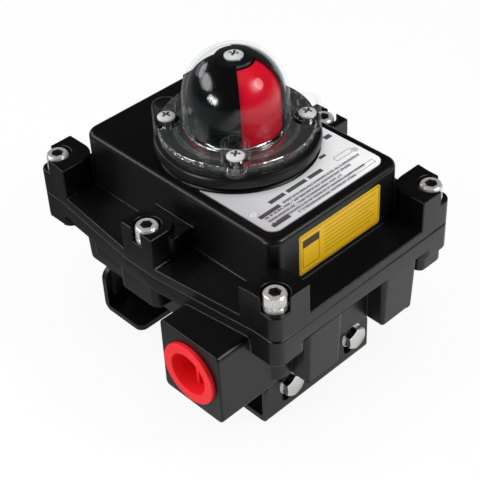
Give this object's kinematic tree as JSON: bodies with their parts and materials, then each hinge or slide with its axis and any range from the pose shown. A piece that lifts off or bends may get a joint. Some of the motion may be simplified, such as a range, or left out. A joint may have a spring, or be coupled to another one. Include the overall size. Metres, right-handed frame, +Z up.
{
  "type": "valve limit switch box",
  "caption": "Rotary valve limit switch box with domed position indicator, plugged conduit entries, inner microswitches and a slotted mounting bracket.",
  "frame": {"origin": "on the shaft axis, level with the underside of the bracket feet", "axes": "+Z up along the shaft towards the indicator, X along the long side of the housing and the 80 mm foot spacing, -Y the front with the offset conduit entry"},
  "size_m": [0.154, 0.151, 0.1534],
  "materials": {
    "housing_black": "semi-gloss black powder coat on die-cast aluminium",
    "bracket_black": "satin black painted steel",
    "seal_black": "matt black nitrile rubber",
    "stainless": "machined stainless steel",
    "zinc_steel": "bright zinc-plated steel",
    "nickel_screw": "nickel-plated steel",
    "plug_red": "moulded red plastic",
    "drum_red": "glossy red moulded plastic",
    "drum_yellow": "glossy yellow moulded plastic",
    "shroud_black": "glossy black moulded plastic",
    "clear_plastic": "clear polycarbonate",
    "plate_silver": "brushed anodised aluminium",
    "label_yellow": "printed yellow film",
    "bronze": "sintered bronze",
    "cam_nylon": "natural acetal",
    "switch_black": "dark moulded switch case",
    "terminal_plastic": "cream moulded terminal block",
    "terminal_metal": "plated brass"
  },
  "bodies": {
    "housing": {"base_housing": "housing_black", "bracket_bolts": "zinc_steel", "bracket_channel": "bracket_black", "bracket_foot_left": "bracket_black", "bracket_foot_right": "bracket_black", "bracket_nuts": "zinc_steel", "bracket_plate_screws": "zinc_steel", "bracket_washers": "zinc_steel", "clear_dome": "clear_plastic", "conduit_plug_front": "plug_red", "conduit_plug_rear": "plug_red", "cover_screws": "stainless", "cover_seal": "seal_black", "cover_washers": "stainless", "dome_screws": "nickel_screw", "dome_seal": "seal_black", "drum_red": "drum_red", "drum_yellow": "drum_yellow", "earth_screw": "terminal_metal", "lever_pins": "stainless", "microswitch_lower": "switch_black", "microswitch_upper": "switch_black", "name_plate": "plate_silver", "name_plate_rivets": "plate_silver", "shaft_bush_lower": "bronze", "shaft_bush_upper": "bronze", "shaft_seal": "seal_black", "side_label": "label_yellow", "switch_bracket": "zinc_steel", "switch_screws": "zinc_steel", "switch_terminals": "terminal_metal", "terminal_screws": "terminal_metal", "terminal_strip": "terminal_plastic", "top_cover": "housing_black"},
    "shaft_assembly": {"shaft": "stainless", "shaft_circlips": "stainless", "cam_lower": "cam_nylon", "cam_upper": "cam_nylon", "cam_sleeves": "cam_nylon", "indicator_shroud": "shroud_black", "shroud_screw": "nickel_screw"},
    "lever_lower_arm": {"lever_lower": "stainless", "roller_lower": "cam_nylon"},
    "lever_upper_arm": {"lever_upper": "stainless", "roller_upper": "cam_nylon"},
    "plunger_lower_pin": {"plunger_lower": "plug_red"},
    "plunger_upper_pin": {"plunger_upper": "plug_red"}
  },
  "joints": [
    {"name": "shaft_turn", "type": "hinge", "parent": "housing", "child": "shaft_assembly", "pos_m": [0, 0, 0.06], "axis": [0, 0, 1], "range_deg": [0, 90]},
    {"name": "lever_lower_swing", "type": "hinge", "parent": "housing", "child": "lever_lower_arm", "pos_m": [-0.0175, 0.0132, 0.05315], "axis": [0, 0, 1], "range_deg": [0, 3.98]},
    {"name": "lever_upper_swing", "type": "hinge", "parent": "housing", "child": "lever_upper_arm", "pos_m": [-0.0175, 0.0132, 0.06915], "axis": [0, 0, 1], "range_deg": [-3.98, 0]},
    {"name": "plunger_lower_push", "type": "slide", "parent": "housing", "child": "plunger_lower_pin", "axis": [0, 1, 0], "range_m": [0, 0.000524]},
    {"name": "plunger_upper_push", "type": "slide", "parent": "housing", "child": "plunger_upper_pin", "axis": [0, 1, 0], "range_m": [-0.000524, 0]}
  ],
  "couplings": [
    {"joint": "lever_lower_swing", "follows": "shaft_turn", "ratio": 0.043654},
    {"joint": "lever_upper_swing", "follows": "shaft_turn", "ratio": -0.043654},
    {"joint": "plunger_lower_push", "follows": "shaft_turn", "m_per_rad": 0.0003274},
    {"joint": "plunger_upper_push", "follows": "shaft_turn", "m_per_rad": -0.0003274}
  ]
}
